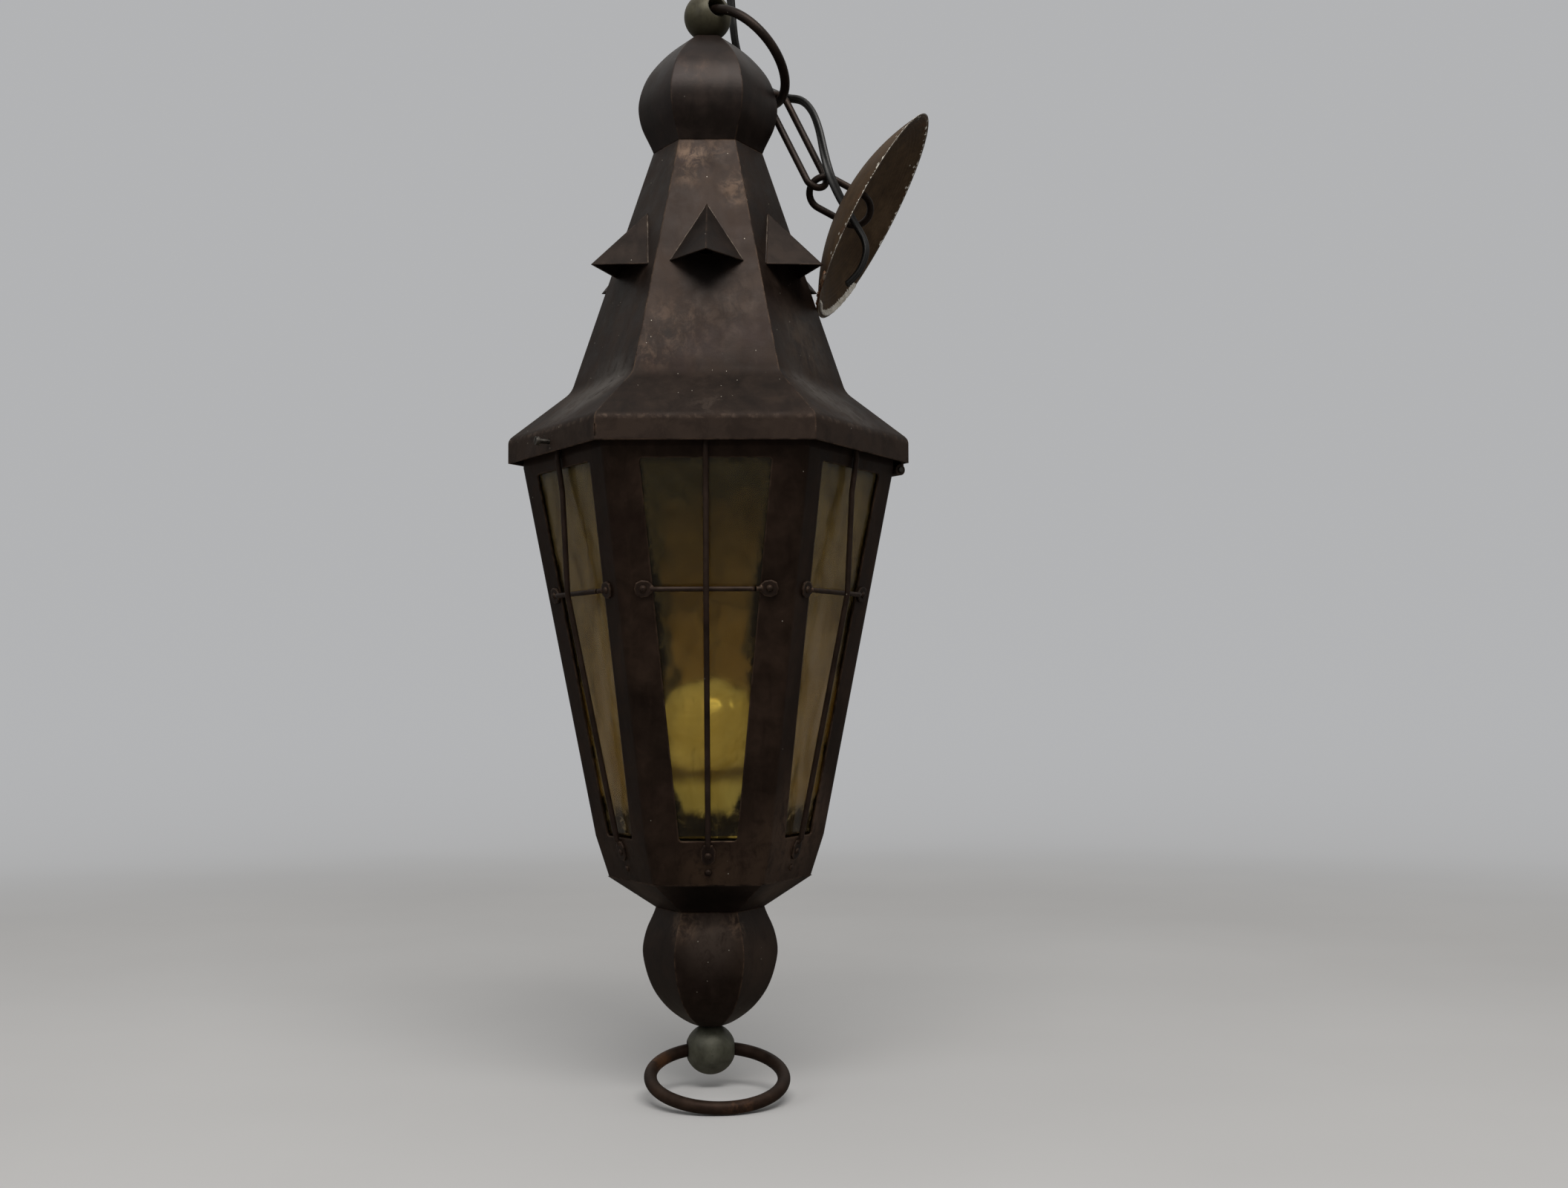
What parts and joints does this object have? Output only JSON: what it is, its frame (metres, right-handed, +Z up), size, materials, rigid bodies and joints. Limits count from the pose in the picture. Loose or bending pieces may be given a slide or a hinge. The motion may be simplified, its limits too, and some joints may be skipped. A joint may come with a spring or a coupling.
{
  "type": "hanging lantern",
  "caption": "Hexagonal hanging lantern in patinated sheet metal with vented chimney roof, tapered cage of seedy amber glass, hinged for relamping, with ring, chain, flex and ceiling cup.",
  "frame": {"origin": "suspension point: where the top ring passes through the finial, on the lantern's vertical axis", "axes": "+Z up along the lantern's axis, -Y out of the front pane, +X to the right seen from the front"},
  "size_m": [0.279, 0.2268, 0.7375],
  "materials": {
    "bronze_sheet": "dark purple-brown patina with tan wear on edges",
    "amber_glass": "hammered seedy amber glass, dusty",
    "opal": "opal diffuser",
    "lamp_plastic": "smooth",
    "holder_plastic": "moulded",
    "steel": "dull plated",
    "ring_metal": "dark brown with worn highlights",
    "weathered_ball": "weathered grey-green",
    "canopy_metal": "brown patina with paint and plaster left on the rim",
    "flex_sheath": "matt sheath"
  },
  "bodies": {
    "roof": {"chimney": "bronze_sheet", "chimney_cap": "bronze_sheet", "eave_skirt": "bronze_sheet", "finial_ball": "weathered_ball", "flex_bushing": "flex_sheath", "hanger_nut": "steel", "hanger_tube": "bronze_sheet", "hinge_leaf_roof": "bronze_sheet", "hinge_pin": "steel", "lock_nut": "steel", "upper_orb": "bronze_sheet", "vent_hood_back": "bronze_sheet", "vent_hood_front": "bronze_sheet", "vent_hood_left_back": "bronze_sheet", "vent_hood_left_front": "bronze_sheet", "vent_hood_right_back": "bronze_sheet", "vent_hood_right_front": "bronze_sheet"},
    "top_ring": {"flex": "flex_sheath", "top_ring": "ring_metal"},
    "link_upper": {"chain_link_upper": "ring_metal"},
    "link_lower": {"chain_link_lower": "ring_metal"},
    "canopy": {"ceiling_canopy": "canopy_metal"},
    "lock_screw": {"lock_screw": "steel"},
    "cage": {"bottom_ball": "weathered_ball", "bottom_funnel": "bronze_sheet", "cage_frame": "bronze_sheet", "cross_rod_back": "bronze_sheet", "cross_rod_front": "bronze_sheet", "cross_rod_left_back": "bronze_sheet", "cross_rod_left_front": "bronze_sheet", "cross_rod_right_back": "bronze_sheet", "cross_rod_right_front": "bronze_sheet", "glass_pane_back": "amber_glass", "glass_pane_front": "amber_glass", "glass_pane_left_back": "amber_glass", "glass_pane_left_front": "amber_glass", "glass_pane_right_back": "amber_glass", "glass_pane_right_front": "amber_glass", "hinge_leaf_cage": "bronze_sheet", "holder_bracket": "steel", "holder_nut": "steel", "lamp_cap": "steel", "lamp_globe": "opal", "lamp_housing": "lamp_plastic", "lampholder": "holder_plastic", "lower_orb": "bronze_sheet", "pane_clips": "steel", "rod_rivets": "bronze_sheet", "stem_nut": "steel", "stem_tube": "bronze_sheet", "upright_rod_back": "bronze_sheet", "upright_rod_front": "bronze_sheet", "upright_rod_left_back": "bronze_sheet", "upright_rod_left_front": "bronze_sheet", "upright_rod_right_back": "bronze_sheet", "upright_rod_right_front": "bronze_sheet"},
    "pull_ring": {"pull_ring": "ring_metal"}
  },
  "joints": [
    {"name": "ring_swing", "type": "hinge", "parent": "roof", "child": "top_ring", "pos_m": [0, 0, 0], "axis": [0.4756, -0.8796, 0], "range_deg": [0, 136], "deforming": ["flex"]},
    {"name": "upper_link_swing", "type": "hinge", "parent": "top_ring", "child": "link_upper", "pos_m": [0.04514, 0.02441, -0.05332], "axis": [0.4756, -0.8796, 0], "range_deg": [0, 40], "deforming": ["flex"]},
    {"name": "lower_link_swing", "type": "hinge", "parent": "link_upper", "child": "link_lower", "pos_m": [0.07444, 0.00589, -0.11567], "axis": [-0.8349, -0.4819, -0.2657], "range_deg": [0, 5], "deforming": ["flex"]},
    {"name": "canopy_slide", "type": "slide", "parent": "link_lower", "child": "canopy", "axis": [0.8752, -0.0114, -0.4837], "range_m": [0, 0.01], "deforming": ["flex"]},
    {"name": "lock_screw_travel", "type": "slide", "parent": "roof", "child": "lock_screw", "axis": [0.866, 0.5, 0], "range_m": [0, 0.005]},
    {"name": "cage_hinge", "type": "hinge", "parent": "roof", "child": "cage", "pos_m": [0.09474, 0.0547, -0.3048], "axis": [0.5, -0.866, 0], "range_deg": [0, 72]},
    {"name": "pull_ring_swing", "type": "hinge", "parent": "cage", "child": "pull_ring", "pos_m": [0, 0, -0.679], "axis": [0.9921, 0.1253, 0], "range_deg": [0, 152]}
  ]
}
